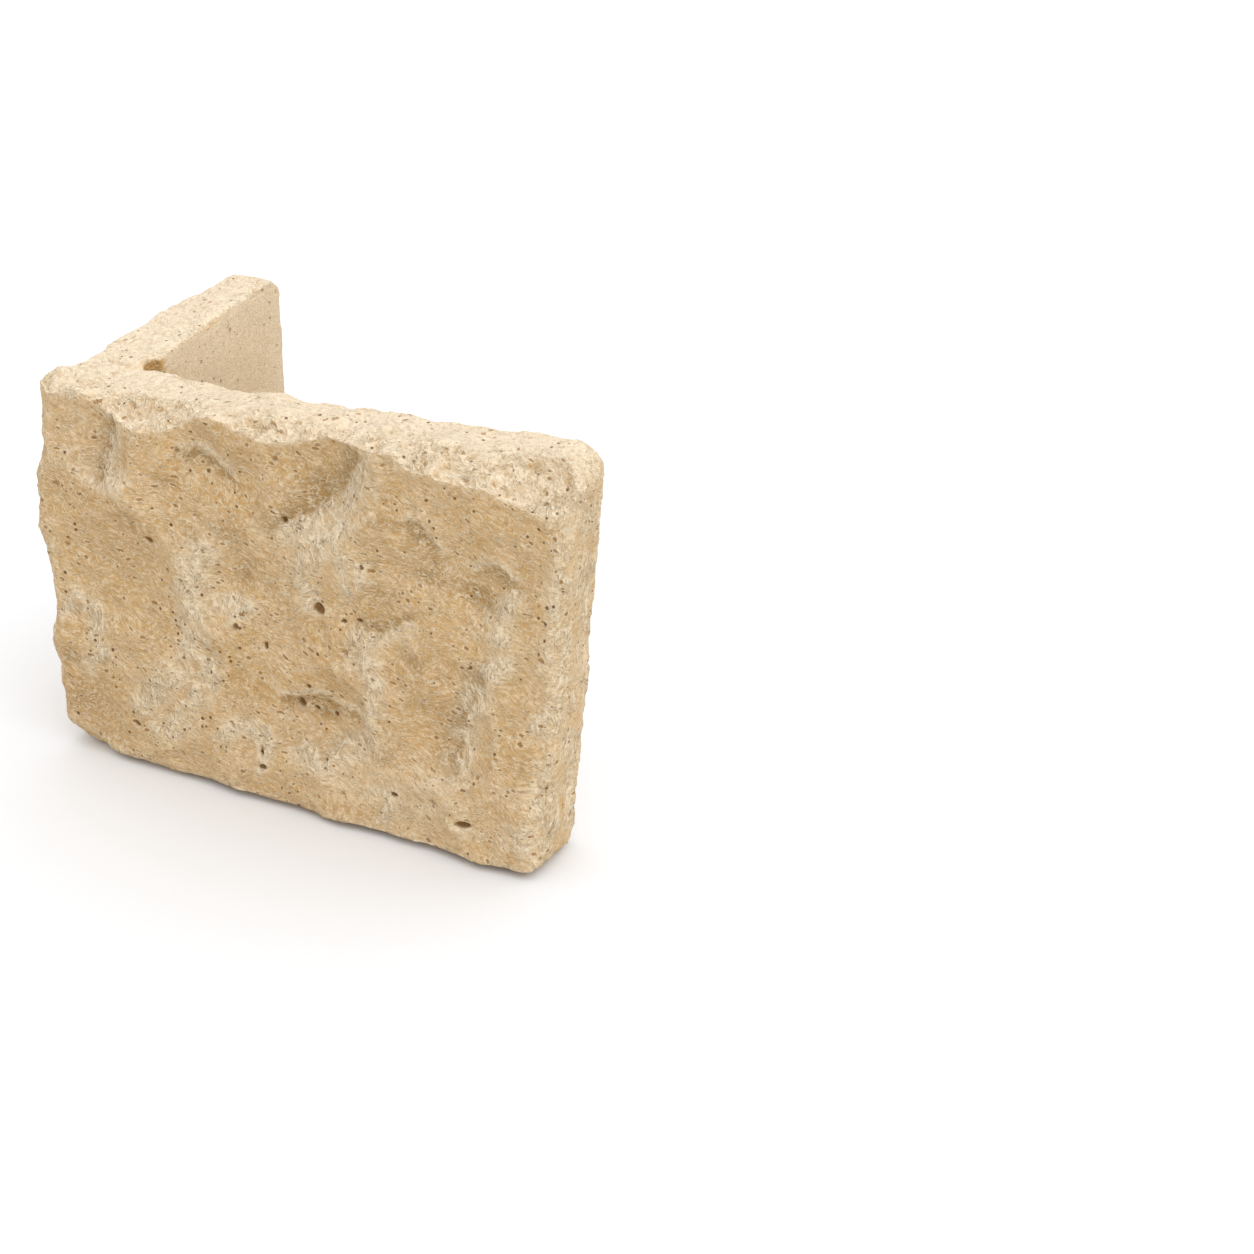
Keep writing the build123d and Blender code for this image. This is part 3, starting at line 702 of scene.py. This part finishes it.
# Streaks along the bedding, stray pits, then all of it moved together and kept above the floor
level = add(split, "ShaderNodeVectorMath", {0: place, 1: (1.0, 1.0, 3.2)}, operation="MULTIPLY").outputs[0]
streak_scale = add(split, "ShaderNodeMath", {0: 1.0, 1: given["Streak Length"]}, operation="DIVIDE").outputs[0]
streak = add(
    split, "ShaderNodeTexNoise",
    {"Vector": level, "Scale": streak_scale, "Detail": 3.0, "Roughness": 0.6, "Distortion": 1.0},
    noise_dimensions="3D",
).outputs[0]
streak_even = add(split, "ShaderNodeMath", {0: streak, 1: 0.5}, operation="SUBTRACT").outputs[0]
streak_here = add(
    split, "ShaderNodeMath", {0: streak_even, 1: given["Streak Height"], 2: lump_rise}, operation="MULTIPLY_ADD",
).outputs[0]

pit_scale = add(split, "ShaderNodeMath", {0: 1.0, 1: given["Pit Spacing"]}, operation="DIVIDE").outputs[0]
pit_cells = add(
    split, "ShaderNodeTexVoronoi", {"Vector": place, "Scale": pit_scale, "Randomness": 1.0},
).outputs["Distance"]
pit_shape = add(
    split, "ShaderNodeMapRange", {"Value": pit_cells, 1: 0.11, 2: 0.05}, interpolation_type="SMOOTHSTEP",
).outputs[0]
pit_drop = add(split, "ShaderNodeMath", {0: pit_shape, 1: given["Pit Depth"]}, operation="MULTIPLY").outputs[0]
risen = add(split, "ShaderNodeMath", {0: streak_here, 1: pit_drop}, operation="SUBTRACT").outputs[0]
total = add(split, "ShaderNodeMath", {0: risen, 1: cut_here}, operation="ADD").outputs[0]
rock_rise = add(split, "ShaderNodeMath", {0: total, 1: rock_only}, operation="MULTIPLY").outputs[0]
shift = add(split, "ShaderNodeVectorMath", {0: normal, "Scale": rock_rise}, operation="SCALE").outputs[0]
tuck_here = add(split, "GeometryNodeInputNamedAttribute", {"Name": "tuck"}, data_type="FLOAT_VECTOR").outputs[0]
tucked = add(split, "ShaderNodeVectorMath", {0: place, 1: tuck_here}, operation="ADD").outputs[0]
moved = add(split, "ShaderNodeVectorMath", {0: tucked, 1: shift}, operation="ADD").outputs[0]
above_floor = add(split, "ShaderNodeVectorMath", {0: moved, 1: (-1.0, -1.0, 0.0)}, operation="MAXIMUM").outputs[0]
rough = add(split, "GeometryNodeSetPosition", {"Geometry": marked, "Position": above_floor}).outputs[0]

# How far each point stands proud of what is around it, for the colour's painted highlight and painted shade
around = add(
    split, "GeometryNodeBlurAttribute", {"Value": place, "Iterations": 14}, data_type="FLOAT_VECTOR",
).outputs[0]
off_around = add(split, "ShaderNodeVectorMath", {0: place, 1: around}, operation="SUBTRACT").outputs[0]
relief_here = add(split, "ShaderNodeVectorMath", {0: off_around, 1: normal}, operation="DOT_PRODUCT").outputs["Value"]
kept = add(
    split, "GeometryNodeStoreNamedAttribute",
    {"Geometry": rough, "Name": "relief", "Value": relief_here}, data_type="FLOAT", domain="POINT",
).outputs[0]
whole = add(split, "GeometryNodeRealizeInstances", {"Geometry": kept}).outputs[0]
finished = add(split, "GeometryNodeSetMaterial", {"Geometry": whole, "Material": given["Stone"]}).outputs[0]
add(split, "NodeGroupOutput", {"Geometry": finished})

stone.data.materials.clear()
splitting = stone.modifiers.new("split rock", "NODES")
splitting.node_group = split
splitting[stone_input] = limestone
thinning = stone.modifiers.new("thin out", "DECIMATE")
thinning.ratio = TRIANGLES / (2 * len(stone.data.polygons))
stone.data = plain_mesh(stone, "split stone corner")
stone.modifiers.clear()
# Smooth all over, but for the sawn arrises, which stay crisp
stone.data.shade_smooth()
stone.data.set_sharp_from_angle(angle=math.radians(60))
for spare in [mesh for mesh in bpy.data.meshes if mesh.users == 0]:
    bpy.data.meshes.remove(spare)
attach(stone, "root")
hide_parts("stone_corner")

# The floor: a matt white studio table. The camera sees it white; the stone gets less light back from it, as from
# a table that ends near the stone.
REACH = 6.0
floor_mesh = bpy.data.meshes.new("floor")
corners = [(-REACH, -REACH, 0), (REACH, -REACH, 0), (REACH, REACH, 0), (-REACH, REACH, 0)]
floor_mesh.from_pydata(corners, [], [(0, 1, 2, 3)])
floor = bpy.data.objects.new("floor", floor_mesh)
bpy.context.collection.objects.link(floor)
table_white = bpy.data.materials.new("matt white table")
table_white.use_nodes = True
paint = table_white.node_tree
paint.nodes.clear()
path = add(paint, "ShaderNodeLightPath", {}).outputs
mirrored = add(
    paint, "ShaderNodeMath", {0: path["Is Glossy Ray"], 1: path["Is Transmission Ray"]}, operation="MAXIMUM",
).outputs[0]
seen = add(paint, "ShaderNodeMath", {0: path["Is Camera Ray"], 1: mirrored}, operation="MAXIMUM").outputs[0]
white = add(
    paint, "ShaderNodeMix", {"Factor": seen, 6: linear("#d9d7d3"), 7: linear("#f2f3f5")}, data_type="RGBA",
).outputs[2]
matt = add(paint, "ShaderNodeBsdfDiffuse", {"Color": white}).outputs[0]
add(paint, "ShaderNodeOutputMaterial", {"Surface": matt})
floor_mesh.materials.append(table_white)

# The light: one very large soft box overhead and a little behind, a weak fill from the front right, in a white room.
room = bpy.data.worlds.new("white room")
room.use_nodes = True
room.node_tree.nodes["Background"].inputs["Color"].default_value = (1.0, 1.0, 1.0, 1.0)
room.node_tree.nodes["Background"].inputs["Strength"].default_value = 0.55
bpy.context.scene.world = room
soft_box = bpy.data.lights.new("soft box", "SUN")
soft_box.angle = math.radians(115)
soft_box.energy = 0.6 * math.pi
lamp = bpy.data.objects.new("soft box", soft_box)
lamp.rotation_euler = (math.radians(-10), math.radians(4), 0)
bpy.context.collection.objects.link(lamp)
fill = bpy.data.lights.new("fill", "SUN")
fill.angle = math.radians(70)
fill.energy = 0.25 * math.pi
fill_lamp = bpy.data.objects.new("fill", fill)
fill_lamp.rotation_euler = (math.radians(60), 0, math.radians(50))
bpy.context.collection.objects.link(fill_lamp)

# The camera: where the photograph was taken from.
lens = bpy.data.cameras.new("camera")
lens.sensor_width = 36
lens.lens = 86.12
camera = bpy.data.objects.new("camera", lens)
camera.location = (0.58757, -0.73560, 0.54057)
camera.rotation_euler = (math.radians(61.75), 0, math.radians(27.62))
bpy.context.collection.objects.link(camera)
bpy.context.scene.camera = camera
bpy.context.scene.view_settings.view_transform = "Standard"
